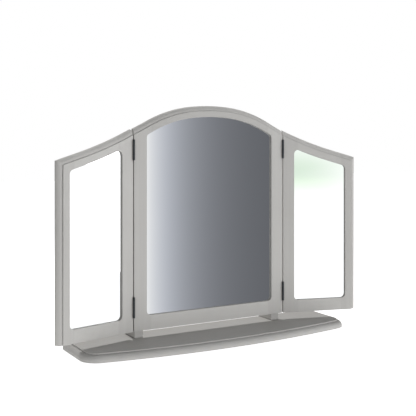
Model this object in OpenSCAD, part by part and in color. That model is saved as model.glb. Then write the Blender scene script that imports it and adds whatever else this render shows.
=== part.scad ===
// Three-panel dressing table mirror.
// An arched centre panel stands on two foot brackets behind the bowed front
// of a base board, and a wing hangs on butt hinges at each side of it.
// Millimetres. X runs to the right, Y from the front to the back, Z up.
// The origin is on the table, under the middle of the base board.

/* [Panels] */
// Width of the centre panel
centre_w = 497; // [480:1:560]
// Width of each wing
wing_w = 239; // [220:1:245]
// Thickness of the frames
frame_t = 18; // [17:0.5:24]
// Gap between the centre panel and a wing, which the hinge leaves fill
panel_gap = 3; // [2.8:0.1:4]
// How far the left wing is swung forward, in degrees
left_swing = 13; // [0:1:40]
// How far the right wing is swung forward, in degrees
right_swing = 16; // [0:1:40]

/* [Top line] */
// Height of the centre panel in its middle
apex_h = 630; // [580:1:700]
// Radius of the crown of the arch
crown_r = 600; // [550:5:700]
// Slope at the end of the crown, in degrees
crown_slope = 6; // [4:0.5:8]
// Radius of the shoulders of the arch
shoulder_r = 390; // [370:5:410]
// Slope at the foot of the shoulders, where the line turns hollow, in degrees
shoulder_slope = 27.8; // [26:0.1:29]
// Radius of the hollow sweep that runs on over the wing
sweep_r = 1120; // [1000:10:1200]
// Slope of the straight end of the wing's top, in degrees
tip_slope = 16.1; // [15:0.1:18]

/* [Frame members] */
// Width of the centre panel's stiles
centre_stile_w = 39; // [36:0.5:46]
// Width of the centre panel's top rail, square to its curve
centre_top_w = 32.5; // [31:0.5:40]
// Height of the centre panel's bottom rail
centre_bottom_w = 41; // [38:0.5:60]
// Width of the wing's stile at the hinges
hinge_stile_w = 35.5; // [34:0.5:42]
// Width of the wing's outer stile
outer_stile_w = 34.5; // [33:0.5:42]
// Width of the wing's top rail, square to its curve
wing_top_w = 35; // [33:0.5:42]
// Height of the wing's bottom rail
wing_bottom_w = 37; // [35:0.5:55]
// Radius of the corners of the openings
corner_r = 13; // [8:0.5:16]
// Diameter of the dowels in the frame joints
dowel_d = 6; // [5:0.5:6.5]
// Length of the dowels
dowel_l = 24; // [20:1:26]

/* [Edge moulding] */
// Height of the step between the frame's flat face and its rounded edge
frame_step = 3; // [2:0.25:3.5]
// Radius of the frame's rounded edge
frame_round = 14; // [10:0.5:14]
// Height of the step at the rim of the base board
base_step = 4; // [2:0.25:5]
// Radius of the base board's rounded edge
base_round = 14; // [10:0.5:16]
// Width of the flat ledge at the foot of both steps
ledge = 1; // [0.5:0.25:1.5]
// Width of the chamfer above both steps
chamfer = 0.8; // [0.4:0.1:1.5]

/* [Mirrors] */
// Depth of the frame in front of the mirror glass
reveal = 6; // [4:0.5:6.5]
// Thickness of the mirror glass
glass_t = 4; // [3:0.5:4]
// Thickness of the back boards
board_t = 3; // [2:0.5:3]
// How far the glass reaches behind the frame on each side
glass_lap = 5; // [4:0.5:5]
// Play around the glass in its rebate
glass_play = 1; // [0.5:0.25:1.5]
// Diameter of the pins that hold the back boards
pin_d = 1.6; // [1.2:0.1:2]
// Length of the pins
pin_l = 12; // [10:0.5:14]

/* [Base] */
// Width of the base board
base_w = 852; // [800:1:900]
// Depth of the base board in its middle
base_d = 216; // [200:1:240]
// Thickness of the base board
base_t = 22; // [20:0.5:28]
// Radius of the bowed front
bow_r = 2200; // [1900:50:3000]
// Radius of the front corners
base_corner_r = 50; // [30:1:60]
// Distance from the front of the bow back to the front of the centre panel
panel_setback = 134; // [125:1:140]
// Diameter of the felt pads
pad_d = 24; // [15:1:30]
// Thickness of the felt pads
pad_t = 1.5; // [1:0.5:4]

/* [Foot brackets] */
// Width of the brackets
foot_w = 26; // [20:1:28]
// Height of the gap under the panels
foot_h = 22; // [18:1:30]
// How far the front of a foot stands back from the front of the panel
foot_recess = 12; // [8:1:15]
// Height of the arm that rises behind the stile
arm_h = 120; // [100:1:160]
// Thickness of the arm
arm_t = 22; // [18:1:26]
// Diameter of the wood screws
screw_d = 4; // [3.5:0.1:4.5]
// How deep each wood screw bites into the second piece
screw_bite = 12; // [10:0.5:13]
// Distance of the front screw in a foot from the foot's front
front_screw_in = 16; // [12:1:24]
// Distance of the back screw in a foot from the foot's back
back_screw_in = 14; // [10:1:20]
// Height of the arm's lower screw above the curve at the arm's foot
low_screw_up = 12; // [8:1:20]
// Distance of the arm's upper screw from the arm's top
high_screw_in = 20; // [16:1:28]

/* [Hinges] */
// Length of the hinges
hinge_l = 56; // [50:1:63]
// Height of the middle of the lower hinges above the panels' lower edge
lower_hinge_z = 67; // [55:1:90]
// Distance of the middle of the upper hinges below the top of the centre panel
upper_hinge_drop = 127; // [120:1:160]
// Diameter of the knuckles
knuckle_d = 5.5; // [5:0.1:5.8]
// Distance of the hinge pin's axis in front of the frames
axis_proud = 3; // [3:0.1:4]
// Diameter of the hinge pins
hinge_pin_d = 2.6; // [2:0.1:2.8]
// Thickness of the hinge leaves
leaf_t = 1.2; // [1:0.1:1.3]
// Depth of the hinge leaves along the frames' edges
leaf_w = 15; // [14:0.5:16]
// Diameter of the hinge screws
hinge_screw_d = 2.8; // [2.4:0.1:3]
// Length of the hinge screws
hinge_screw_l = 14; // [12:0.5:16]

/* [Hidden] */

$fn = 48;
// Facets of a full turn of the large arcs
arc_fn = 720;
// Overrun of a cut past the face it starts from
over = 1;
// How far past a board's edge its cuts clear what lies outside the outline
outside = 3;
// How far outside the board's edge a rounded edge would turn upright
round_short = 0.3;
// Where two curves meet, both cuts run on a little, by an angle or a length,
// and one of the two is a hair deeper
run_on = 0.02;
run_on_l = 0.2;
hair = 0.03;
// How far the cut along the bow starts past the middle of the board, in degrees
past_middle = 1;
// Room around a dowel, a pin or a screw in its hole
hole_play = 0.05;
// Room for a dowel and for a pin along their holes
dowel_end_play = 1;
pin_end_play = 0.2;
// Room around a hinge pin in its knuckles
pin_play = 0.05;
// Room between a knuckle and what turns past it
turn_play = 0.35;
// Room between two knuckles on one pin
knuckle_play = 0.3;

paint = [0.72, 0.71, 0.69];
dark_metal = [0.16, 0.17, 0.18];
bare_wood = [0.78, 0.66, 0.48];
silvered = [0.80, 0.83, 0.85];
hardboard = [0.48, 0.35, 0.24];
steel = [0.62, 0.62, 0.60];
felt = [0.24, 0.28, 0.24];

// Where the panels stand over the base
base_z = pad_t;
panel_y = panel_setback - base_d / 2;
panel_z = base_z + base_t + foot_h;
panel_base = [0, panel_y, panel_z];

// Sizes across the panels, measured from the middle of the centre panel
centre_half = centre_w / 2;
centre_open = centre_half - centre_stile_w;
axis_x = centre_half + panel_gap / 2;
wing_in = centre_half + panel_gap;
wing_out = wing_in + wing_w;
wing_open_in = wing_in + hinge_stile_w;
wing_open_out = wing_out - outer_stile_w;
rebate = glass_lap + glass_play;

// The joint of a rail lies just past the rounded corner of the opening
joint_in = corner_r + 1;
centre_shoulder = centre_open - joint_in;
wing_shoulder_in = wing_open_in + joint_in;
wing_shoulder_out = wing_open_out - joint_in;

board_back = reveal + glass_t + board_t;

// Where the dowels lie: depth in the frame as a share of its thickness, wood between
// a dowel and the rebate, and wood between two dowels
dowel_y = 0.58 * frame_t;
dowel_wall = 2;
dowel_apart = 3.5;
dowel_near = rebate + dowel_d / 2 + dowel_wall;
dowel_far = dowel_near + dowel_d + dowel_apart;

// Parts of a hinge: its places, its knuckles, the heads of its pin, and its screws,
// which sit a little behind the middle of the leaf
upper_hinge_z = apex_h - upper_hinge_drop;
hinge_zs = [lower_hinge_z, upper_hinge_z];
knuckles = 5;
knuckle_l = hinge_l / knuckles;
pin_head_h = 0.8;
pin_head_d = knuckle_d - 1.2;
leaf_screw_y = axis_proud + leaf_w / 2 + 1;

// Where the foot brackets stand and their screws sit
foot_x = centre_half - centre_stile_w / 2;
foot_back = base_d - panel_setback;
foot_curve = foot_back - frame_t - arm_t;
foot_screw_ys = [foot_recess + front_screw_in, foot_back - back_screw_in];
arm_screw_zs = [foot_curve + low_screw_up, arm_h - high_screw_in];

// Centre of the right front corner of the base board, and the turn where the bow ends
base_front_y = -base_d / 2;
bow_y = base_front_y + bow_r;
corner_x = base_w / 2 - base_corner_r;
corner_y = bow_y - sqrt(pow(bow_r - base_corner_r, 2) - corner_x * corner_x);
corner_turn = atan2(corner_x, bow_y - corner_y);

// A unit vector tilted by an angle from upright towards +X
function tilt(a) = [sin(a), cos(a)];

// Centres of the arcs of the top line, and the points where one arc meets the next
crown_c = [0, apex_h - crown_r];
crown_end = crown_c + crown_r * tilt(crown_slope);
shoulder_c = crown_end - shoulder_r * tilt(crown_slope);
shoulder_end = shoulder_c + shoulder_r * tilt(shoulder_slope);
sweep_c = shoulder_end + sweep_r * tilt(shoulder_slope);
sweep_end = sweep_c - sweep_r * tilt(tip_slope);

// Where an arc of the top line ends once the line is drawn in by inset
function crown_x(inset) = (crown_end - inset * tilt(crown_slope))[0];
function shoulder_x(inset) = (shoulder_end - inset * tilt(shoulder_slope))[0];
function sweep_x(inset) = (sweep_end - inset * tilt(tip_slope))[0];

// Slope of the right half of the top line at x, once it is drawn in by inset
function half_slope(x, inset) =
    x < crown_x(inset) ? asin(x / (crown_r - inset)) :
    x < shoulder_x(inset) ? asin((x - shoulder_c[0]) / (shoulder_r - inset)) :
    x < sweep_x(inset) ? asin((sweep_c[0] - x) / (sweep_r + inset)) :
    tip_slope;

// Height of the right half of the top line at x, once it is drawn in by inset
function half_z(x, inset) =
    x < crown_x(inset) ? crown_c[1] + (crown_r - inset) * cos(half_slope(x, inset)) :
    x < shoulder_x(inset) ? shoulder_c[1] + (shoulder_r - inset) * cos(half_slope(x, inset)) :
    x < sweep_x(inset) ? sweep_c[1] - (sweep_r + inset) * cos(half_slope(x, inset)) :
    sweep_end[1] - inset / cos(tip_slope) - (x - sweep_end[0]) * tan(tip_slope);

// The same on either side of the middle
function top_slope(x, inset) = sign(x) * half_slope(abs(x), inset);
function top_z(x, inset) = half_z(abs(x), inset);

// The strip from x0 to x1 that holds the whole top line
module strip(x0, x1) {
    polygon([[x0, apex_h / 2], [x1, apex_h / 2], [x1, apex_h + over], [x0, apex_h + over]]);
}

// All that lies above the top line, once it is drawn in by inset
module above_top_line(inset = 0) {
    far_x = wing_out + wing_w;
    difference() {
        strip(-crown_x(inset), crown_x(inset));
        translate(crown_c) circle(crown_r - inset, $fn = arc_fn);
    }
    both_sides() {
        difference() {
            strip(crown_x(inset), shoulder_x(inset));
            translate(shoulder_c) circle(shoulder_r - inset - hair, $fn = arc_fn);
        }
        intersection() {
            strip(shoulder_x(inset), sweep_x(inset));
            translate(shoulder_end) translate(sweep_r * tilt(shoulder_slope))
                circle(sweep_r + inset, $fn = arc_fn);
        }
        polygon([
            [sweep_x(inset), top_z(sweep_x(inset), inset) - hair], [far_x, top_z(far_x, inset) - hair],
            [far_x, apex_h + over], [sweep_x(inset), apex_h + over]
        ]);
    }
}

// The sharp part that a rounded corner of an opening leaves out: c is the middle
// of the round, and a and b are the directions of its two ends. The round is
// a hair larger, so that it crosses the sides and doesn't just touch them
module corner_waste(c, r, a, b) {
    side = 4 * r;
    difference() {
        polygon([c, c + side * a, c + side * (a + b), c + side * b]);
        translate(c) circle(r + hair);
    }
}

// The opening between x0 and x1, from z0 up to the top line drawn in by inset
module opening(x0, x1, z0, inset, r) {
    left = [x0 + r, top_z(x0 + r, inset + r)];
    right = [x1 - r, top_z(x1 - r, inset + r)];
    difference() {
        translate([x0, z0]) square([x1 - x0, apex_h - z0]);
        above_top_line(inset);
        corner_waste(left, r, [-1, 0], tilt(top_slope(left[0], inset + r)));
        corner_waste(right, r, [1, 0], tilt(top_slope(right[0], inset + r)));
        corner_waste([x0 + r, z0 + r], r, [-1, 0], [0, -1]);
        corner_waste([x1 - r, z0 + r], r, [1, 0], [0, -1]);
    }
}

// The centre opening, grown by a lap all round
module centre_opening(lap = 0) {
    half = centre_open + lap;
    opening(-half, half, centre_bottom_w - lap, centre_top_w - lap, corner_r + lap);
}

// The right wing's opening, grown by a lap all round
module wing_opening(lap = 0) {
    opening(wing_open_in - lap, wing_open_out + lap, wing_bottom_w - lap, wing_top_w - lap, corner_r + lap);
}

// A flat shape drawn in X and Z, thick from depth y0 to depth y1
module slab(y0, y1) {
    translate([0, y1, 0]) rotate([90, 0, 0]) linear_extrude(y1 - y0) children();
}

// What the edge moulding takes off, with all that lies up to reach outside the outline.
// Drawn with the board's outer edge at x = 0, the board towards +X and its back at
// y = 0; deeper moves the whole cut into the board
module edge_waste(thickness, step, round_r, reach, deeper) {
    crest = round_r - round_short;
    width = crest + ledge;
    foot = thickness - step;
    translate([deeper, -deeper]) {
        translate([-reach, -over]) square([reach, thickness + 2 * over]);
        difference() {
            translate([-over, foot - round_r]) square([width + over, step + round_r + over]);
            translate([crest, foot - round_r]) circle(round_r);
            translate([crest, foot - round_r - over]) square([width, round_r + over]);
        }
        polygon([
            [width - over, thickness - chamfer], [width, thickness - chamfer], [width + chamfer, thickness],
            [width + chamfer + over, thickness + over], [width - over, thickness + over]
        ]);
    }
}

module frame_edge_waste(deeper) { edge_waste(frame_t, frame_step, frame_round, outside, deeper); }

// Cuts an edge of the panel along an arc, with the outline at radius r.
// Angles run from +X towards +Z; bulges tells a rounded outline from a hollow one
module edge_along_arc(c, r, from, to, bulges, deeper = 0) {
    translate([c[0], frame_t, c[1]]) rotate([90, 0, 0]) rotate([0, 0, from - run_on])
        rotate_extrude(angle = to - from + 2 * run_on, $fn = arc_fn)
            translate([r, 0]) mirror([bulges ? 1 : 0, 0]) frame_edge_waste(deeper);
}

// Cuts an edge of the panel along a straight that runs on from the point p and falls by slope
module edge_along_line(p, slope, l, deeper = 0) {
    translate([p[0] + l * cos(slope), frame_t, p[1] - l * sin(slope)]) rotate([0, 90 + slope, 0])
        rotate([180, 0, 0]) linear_extrude(l + run_on_l) frame_edge_waste(deeper);
}

// The cuts along the right half of the top line. The foot of the shoulder can be cut further
module crown_waste() { edge_along_arc(crown_c, crown_r, 90 - crown_slope, 90 + crown_slope, true); }
module shoulder_waste(more = 0) {
    edge_along_arc(shoulder_c, shoulder_r, 90 - shoulder_slope - more, 90 - crown_slope, true, hair);
}
module sweep_waste() { edge_along_arc(sweep_c, sweep_r, 270 - shoulder_slope, 270 - tip_slope, false); }
module tip_waste() { edge_along_line(sweep_end, tip_slope, 2 * wing_w, hair); }

// The cut down the outer side of the wing
module side_waste() { edge_along_line([wing_out, apex_h], 90, apex_h + over); }

module both_sides() {
    children();
    mirror([1, 0, 0]) children();
}

// A row of dowels across the joint at x, or their holes
module dowels_at(x, zs, play = 0) {
    for (z = zs) {
        translate([x, dowel_y, z]) rotate([0, 90, 0])
            cylinder(h = dowel_l + (play > 0 ? dowel_end_play : 0), d = dowel_d + 2 * play, center = true);
    }
}

// Heights of the dowels in a bottom rail, and of the one in a top rail: midway between
// the rebate at its inner end and the moulded edge at its outer end
function low_dowel_zs(rail_w) = [rail_w - dowel_near, rail_w - dowel_far];
function top_dowel_zs(x, rail_w) =
    [(top_z(x - dowel_l / 2, rail_w - rebate) + top_z(x + dowel_l / 2, frame_step)) / 2];

module centre_dowel_set(play = 0) {
    dowels_at(centre_shoulder, low_dowel_zs(centre_bottom_w), play);
    dowels_at(centre_shoulder, top_dowel_zs(centre_shoulder, centre_top_w), play);
}

module wing_dowel_set(play = 0) {
    for (x = [wing_shoulder_in, wing_shoulder_out]) {
        dowels_at(x, low_dowel_zs(wing_bottom_w), play);
        dowels_at(x, top_dowel_zs(x, wing_top_w), play);
    }
}

// A pin behind the back board, half of it in the wall of the rebate at p.
// Its direction is 0 along X and 90 along Z
module board_pin(p, along, play = 0) {
    translate([p[0], board_back + pin_d / 2 + hole_play, p[1]]) rotate([0, 90 - along, 0])
        cylinder(h = pin_l + (play > 0 ? pin_end_play : 0), d = pin_d + 2 * play, center = true);
}

// Places shared out evenly between two ends
function shared_out(from, to, count) = [for (i = [0.5 : count]) from + (to - from) * i / count];

module centre_pin_set(play = 0) {
    wall_x = centre_open + rebate;
    for (z = shared_out(centre_bottom_w, top_z(centre_open, centre_top_w), 4)) {
        board_pin([wall_x, z], 0, play);
    }
    for (x = shared_out(0, centre_open, 2)) {
        board_pin([x, centre_bottom_w - rebate], 90, play);
        board_pin([x, top_z(x, centre_top_w - rebate)], 90, play);
    }
}

module wing_pin_set(play = 0) {
    for (z = shared_out(wing_bottom_w, top_z(wing_open_in, wing_top_w), 4)) {
        board_pin([wing_open_in - rebate, z], 0, play);
    }
    for (z = shared_out(wing_bottom_w, top_z(wing_open_out, wing_top_w), 4)) {
        board_pin([wing_open_out + rebate, z], 0, play);
    }
    for (x = shared_out(wing_open_in, wing_open_out, 2)) {
        board_pin([x, wing_bottom_w - rebate], 90, play);
        board_pin([x, top_z(x, wing_top_w - rebate)], 90, play);
    }
}

// A countersunk screw along +Z with its head's face at z = 0, or the hole for it
module wood_screw(d, head_h, l, play = 0) {
    point_h = d;
    shank_l = l - point_h + (play > 0 ? point_h + over / 2 : 0);
    difference() {
        union() {
            cylinder(h = head_h, d1 = d + 2 * head_h + 2 * play, d2 = d + 2 * play);
            cylinder(h = shank_l, d = d + 2 * play);
            if (play == 0) translate([0, 0, shank_l]) cylinder(h = point_h, d1 = d, d2 = d / 4);
            if (play > 0) translate([0, 0, -over]) cylinder(h = over, d = d + 2 * head_h + 2 * play);
        }
        if (play == 0) screw_slot(d, head_h);
    }
}

module screw_slot(d, head_h) {
    slot_w = d / 5;
    translate([-d - head_h, -slot_w / 2, -over]) cube([2 * (d + head_h), slot_w, over + head_h / 3]);
}

// The screws that hold a hinge leaf. Into is -1 towards the centre panel, 1 towards the wing
module leaf_screws(into, play = 0) {
    for (row = [-1 : 1]) {
        translate([into * (panel_gap / 2 - leaf_t), leaf_screw_y, row * hinge_l / 3])
            rotate([0, into * 90, 0]) wood_screw(hinge_screw_d, leaf_t, hinge_screw_l, play);
    }
}

module at_hinge(z) {
    translate([axis_x, -axis_proud, z]) children();
}

// One knuckle of a hinge, counted from below
module knuckle(i, d, play) {
    translate([0, 0, i * knuckle_l - hinge_l / 2 + play / 2]) cylinder(h = knuckle_l - play, d = d);
}

// Half of a hinge about its pin's axis: its plate lies on a frame's edge, and it owns
// every second knuckle from the one called first
module hinge_leaf(into, first) {
    difference() {
        union() {
            translate([into < 0 ? -panel_gap / 2 : panel_gap / 2 - leaf_t, 0, -hinge_l / 2])
                cube([leaf_t, axis_proud + leaf_w, hinge_l]);
            for (i = [first : 2 : knuckles - 1]) knuckle(i, knuckle_d, knuckle_play);
        }
        for (i = [1 - first : 2 : knuckles - 1]) knuckle(i, knuckle_d + 2 * turn_play, 0);
        cylinder(h = hinge_l + 2 * over, d = hinge_pin_d + 2 * pin_play, center = true);
        leaf_screws(into, hole_play);
    }
}

module fixed_leaf() { color(dark_metal) hinge_leaf(-1, 0); }
module wing_leaf() { color(dark_metal) hinge_leaf(1, 1); }

module hinge_pin() {
    color(dark_metal) {
        cylinder(h = hinge_l + over, d = hinge_pin_d, center = true);
        for (end = [-1, 1]) {
            translate([0, 0, end * (hinge_l + pin_head_h) / 2])
                cylinder(h = pin_head_h, d = pin_head_d, center = true);
        }
    }
}

// The screws from the bracket's arm into the stile, heads at the back
module arm_screws(play = 0) {
    for (z = arm_screw_zs) {
        translate([foot_x, frame_t + arm_t, z]) rotate([90, 0, 0])
            wood_screw(screw_d, screw_d / 2, arm_t + screw_bite, play);
    }
}

// The screws from under the base board into the foot, heads below
module foot_screws(play = 0) {
    for (y = foot_screw_ys) {
        translate([foot_x, y, -foot_h - base_t])
            wood_screw(screw_d, screw_d / 2, base_t + screw_bite, play);
    }
}

// A member of the centre panel before its edge is moulded, cut out between x0, x1 and z0, z1
module centre_blank(x0, x1, z0, z1) {
    difference() {
        slab(0, frame_t) difference() {
            translate([x0, z0]) square([x1 - x0, z1 - z0]);
            above_top_line(-over);
            centre_opening();
        }
        slab(reveal, frame_t + over) centre_opening(rebate);
        both_sides() centre_dowel_set(hole_play);
        both_sides() centre_pin_set(hole_play);
    }
}

// The right stile of the centre panel
module centre_stile() {
    color(paint) difference() {
        centre_blank(centre_shoulder, centre_half, 0, apex_h);
        sweep_waste();
        shoulder_waste();
        for (z = hinge_zs) at_hinge(z) leaf_screws(-1, hole_play);
        arm_screws(hole_play);
    }
}

// A member of the right wing before its edge is moulded, cut out between x0, x1 and z0, z1
module wing_blank(x0, x1, z0, z1) {
    difference() {
        slab(0, frame_t) difference() {
            translate([x0, z0]) square([x1 - x0, z1 - z0]);
            above_top_line(-over);
            wing_opening();
        }
        slab(reveal, frame_t + over) wing_opening(rebate);
        wing_dowel_set(hole_play);
        wing_pin_set(hole_play);
    }
}

module wing_hinge_stile() {
    color(paint) difference() {
        wing_blank(wing_in, wing_shoulder_in, 0, apex_h);
        sweep_waste();
        for (z = hinge_zs) at_hinge(z) leaf_screws(1, hole_play);
    }
}

module wing_outer_stile() {
    color(paint) difference() {
        wing_blank(wing_shoulder_out, wing_out + over, 0, apex_h);
        tip_waste();
        side_waste();
    }
}

module wing_top_rail() {
    color(paint) difference() {
        wing_blank(wing_shoulder_in, wing_shoulder_out, apex_h / 2, apex_h);
        sweep_waste();
        tip_waste();
    }
}

module wing_bottom_rail() {
    color(paint) wing_blank(wing_shoulder_in, wing_shoulder_out, 0, wing_bottom_w);
}

// A pane that fills an opening and its lap behind the frame, from depth y0 to y1
module centre_pane(y0, y1) { slab(y0, y1) centre_opening(glass_lap); }
module wing_pane(y0, y1) { slab(y0, y1) wing_opening(glass_lap); }

module glass_of_centre() { color(silvered) centre_pane(reveal, reveal + glass_t); }
module glass_of_wing() { color(silvered) wing_pane(reveal, reveal + glass_t); }
module board_of_centre() { color(hardboard) centre_pane(reveal + glass_t, board_back); }
module board_of_wing() { color(hardboard) wing_pane(reveal + glass_t, board_back); }

// A foot bracket, the right one: a sole on the base board, with a step under the
// panel, and an arm behind the stile, sawn from one board
module foot_bracket() {
    nose = arm_t / 2;
    color(paint) difference() {
        translate([foot_x - foot_w / 2, 0, -foot_h]) rotate([90, 0, 90]) linear_extrude(foot_w)
            difference() {
                union() {
                    translate([foot_recess, 0]) square([foot_back - foot_recess, foot_h]);
                    translate([frame_t, 0]) square([arm_t, foot_h + arm_h]);
                    translate([frame_t + arm_t, foot_h]) difference() {
                        square(foot_curve);
                        translate([foot_curve, foot_curve]) circle(foot_curve);
                    }
                }
                translate([frame_t + arm_t - nose, foot_h + arm_h - nose]) difference() {
                    square(nose + over);
                    circle(nose);
                }
            }
        arm_screws(hole_play);
        foot_screws(hole_play);
    }
}

// What the moulding takes off the base board, seen from the middle of an arc
module base_edge_waste(reach = outside, deeper = 0) {
    mirror([1, 0]) edge_waste(base_t, base_step, base_round, reach, deeper);
}

// The right half of the base board: straight back, then moulded along the bow,
// down the end and round the corner
module half_base() {
    back_y = base_d / 2 + over;
    end_l = back_y - corner_y + run_on_l;
    difference() {
        linear_extrude(base_t) intersection() {
            translate([0, bow_y]) circle(bow_r + over, $fn = 2 * arc_fn);
            translate([0, base_front_y - over]) square([base_w / 2 + over, base_d + over]);
        }
        translate([0, bow_y]) rotate([0, 0, 270 - past_middle])
            rotate_extrude(angle = past_middle + corner_turn + run_on, $fn = 2 * arc_fn)
                translate([bow_r, 0]) base_edge_waste();
        translate([base_w / 2, back_y]) rotate([90, 0, 0]) linear_extrude(end_l) base_edge_waste();
        translate([corner_x, corner_y])
            rotate_extrude(
                angle = 90 - corner_turn + 2 * run_on, start = 270 + corner_turn - run_on, $fn = arc_fn / 4
            )
                translate([base_corner_r, 0]) base_edge_waste(base_corner_r, hair);
    }
}

// Middles of the felt pads under the right half of the board and its middle
pad_inset = 30;
pad_x = base_w / 2 - 2 * pad_inset;
pad_front_y = bow_y - sqrt(bow_r * bow_r - pad_x * pad_x) + pad_inset;

module base_board() {
    color(paint) difference() {
        translate([0, 0, base_z]) both_sides() half_base();
        translate(panel_base) both_sides() foot_screws(hole_play);
    }
}

module felt_pads() {
    color(felt) {
        both_sides() {
            translate([pad_x, pad_front_y]) cylinder(h = pad_t, d = pad_d);
            translate([pad_x, base_d / 2 - pad_inset]) cylinder(h = pad_t, d = pad_d);
        }
        translate([0, base_front_y + pad_inset]) cylinder(h = pad_t, d = pad_d);
        translate([0, base_d / 2 - pad_inset]) cylinder(h = pad_t, d = pad_d);
    }
}

// Where each body stands
module centre() { translate(panel_base) children(); }
module left_of_centre() { centre() mirror([1, 0, 0]) children(); }

// Swings the right wing forward about its hinge pins
module swung(angle) {
    translate([axis_x, -axis_proud, 0]) rotate([0, 0, -angle]) translate([-axis_x, axis_proud, 0]) children();
}
module right_wing() { centre() swung(right_swing) children(); }
module left_wing() { left_of_centre() swung(left_swing) children(); }

module base_screws() { color(steel) centre() both_sides() foot_screws(); }
module left_foot_bracket() { left_of_centre() foot_bracket(); }
module right_foot_bracket() { centre() foot_bracket(); }
module bracket_screws() { color(steel) centre() both_sides() arm_screws(); }

module centre_left_stile() { left_of_centre() centre_stile(); }
module centre_right_stile() { centre() centre_stile(); }
module centre_top_rail() {
    color(paint) centre() difference() {
        centre_blank(-centre_shoulder, centre_shoulder, apex_h / 2, apex_h);
        crown_waste();
        shoulder_waste(1);
        mirror([1, 0, 0]) shoulder_waste(1);
    }
}
module centre_bottom_rail() {
    color(paint) centre() centre_blank(-centre_shoulder, centre_shoulder, 0, centre_bottom_w);
}
module centre_dowels() { color(bare_wood) centre() both_sides() centre_dowel_set(); }
module centre_mirror_glass() { centre() glass_of_centre(); }
module centre_back_board() { centre() board_of_centre(); }
module centre_board_pins() { color(steel) centre() both_sides() centre_pin_set(); }
module centre_hinge_screws() {
    color(dark_metal) centre() both_sides() for (z = hinge_zs) at_hinge(z) leaf_screws(-1);
}

module wing_dowels() { color(bare_wood) wing_dowel_set(); }
module wing_board_pins() { color(steel) wing_pin_set(); }
module wing_hinge_screws() { color(dark_metal) for (z = hinge_zs) at_hinge(z) leaf_screws(1); }

module left_wing_hinge_stile() { left_wing() wing_hinge_stile(); }
module left_wing_outer_stile() { left_wing() wing_outer_stile(); }
module left_wing_top_rail() { left_wing() wing_top_rail(); }
module left_wing_bottom_rail() { left_wing() wing_bottom_rail(); }
module left_wing_dowels() { left_wing() wing_dowels(); }
module left_wing_mirror_glass() { left_wing() glass_of_wing(); }
module left_wing_back_board() { left_wing() board_of_wing(); }
module left_wing_board_pins() { left_wing() wing_board_pins(); }
module left_wing_hinge_screws() { left_wing() wing_hinge_screws(); }

module right_wing_hinge_stile() { right_wing() wing_hinge_stile(); }
module right_wing_outer_stile() { right_wing() wing_outer_stile(); }
module right_wing_top_rail() { right_wing() wing_top_rail(); }
module right_wing_bottom_rail() { right_wing() wing_bottom_rail(); }
module right_wing_dowels() { right_wing() wing_dowels(); }
module right_wing_mirror_glass() { right_wing() glass_of_wing(); }
module right_wing_back_board() { right_wing() board_of_wing(); }
module right_wing_board_pins() { right_wing() wing_board_pins(); }
module right_wing_hinge_screws() { right_wing() wing_hinge_screws(); }

module left_upper_hinge_fixed_leaf() { left_of_centre() at_hinge(upper_hinge_z) fixed_leaf(); }
module left_upper_hinge_wing_leaf() { left_wing() at_hinge(upper_hinge_z) wing_leaf(); }
module left_upper_hinge_pin() { left_of_centre() at_hinge(upper_hinge_z) hinge_pin(); }
module left_lower_hinge_fixed_leaf() { left_of_centre() at_hinge(lower_hinge_z) fixed_leaf(); }
module left_lower_hinge_wing_leaf() { left_wing() at_hinge(lower_hinge_z) wing_leaf(); }
module left_lower_hinge_pin() { left_of_centre() at_hinge(lower_hinge_z) hinge_pin(); }
module right_upper_hinge_fixed_leaf() { centre() at_hinge(upper_hinge_z) fixed_leaf(); }
module right_upper_hinge_wing_leaf() { right_wing() at_hinge(upper_hinge_z) wing_leaf(); }
module right_upper_hinge_pin() { centre() at_hinge(upper_hinge_z) hinge_pin(); }
module right_lower_hinge_fixed_leaf() { centre() at_hinge(lower_hinge_z) fixed_leaf(); }
module right_lower_hinge_wing_leaf() { right_wing() at_hinge(lower_hinge_z) wing_leaf(); }
module right_lower_hinge_pin() { centre() at_hinge(lower_hinge_z) hinge_pin(); }

base_board();
felt_pads();
base_screws();
left_foot_bracket();
right_foot_bracket();
bracket_screws();
centre_left_stile();
centre_right_stile();
centre_top_rail();
centre_bottom_rail();
centre_dowels();
centre_mirror_glass();
centre_back_board();
centre_board_pins();
centre_hinge_screws();
left_wing_hinge_stile();
left_wing_outer_stile();
left_wing_top_rail();
left_wing_bottom_rail();
left_wing_dowels();
left_wing_mirror_glass();
left_wing_back_board();
left_wing_board_pins();
left_wing_hinge_screws();
right_wing_hinge_stile();
right_wing_outer_stile();
right_wing_top_rail();
right_wing_bottom_rail();
right_wing_dowels();
right_wing_mirror_glass();
right_wing_back_board();
right_wing_board_pins();
right_wing_hinge_screws();
left_upper_hinge_fixed_leaf();
left_upper_hinge_wing_leaf();
left_upper_hinge_pin();
left_lower_hinge_fixed_leaf();
left_lower_hinge_wing_leaf();
left_lower_hinge_pin();
right_upper_hinge_fixed_leaf();
right_upper_hinge_wing_leaf();
right_upper_hinge_pin();
right_lower_hinge_fixed_leaf();
right_lower_hinge_wing_leaf();
right_lower_hinge_pin();
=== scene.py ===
"""Looks of a three-panel dressing table mirror, laid over its CAD frame.

Everything is in metres and in the CAD frame: X to the right, Y from the front
to the back, Z up, with the origin on the table under the base board.
"""

import logging
import math
from dataclasses import dataclass, field
from enum import Enum
from typing import Any, Mapping, Sequence, Union

import bmesh
import bpy
from mathutils import Matrix, Vector, noise

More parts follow.
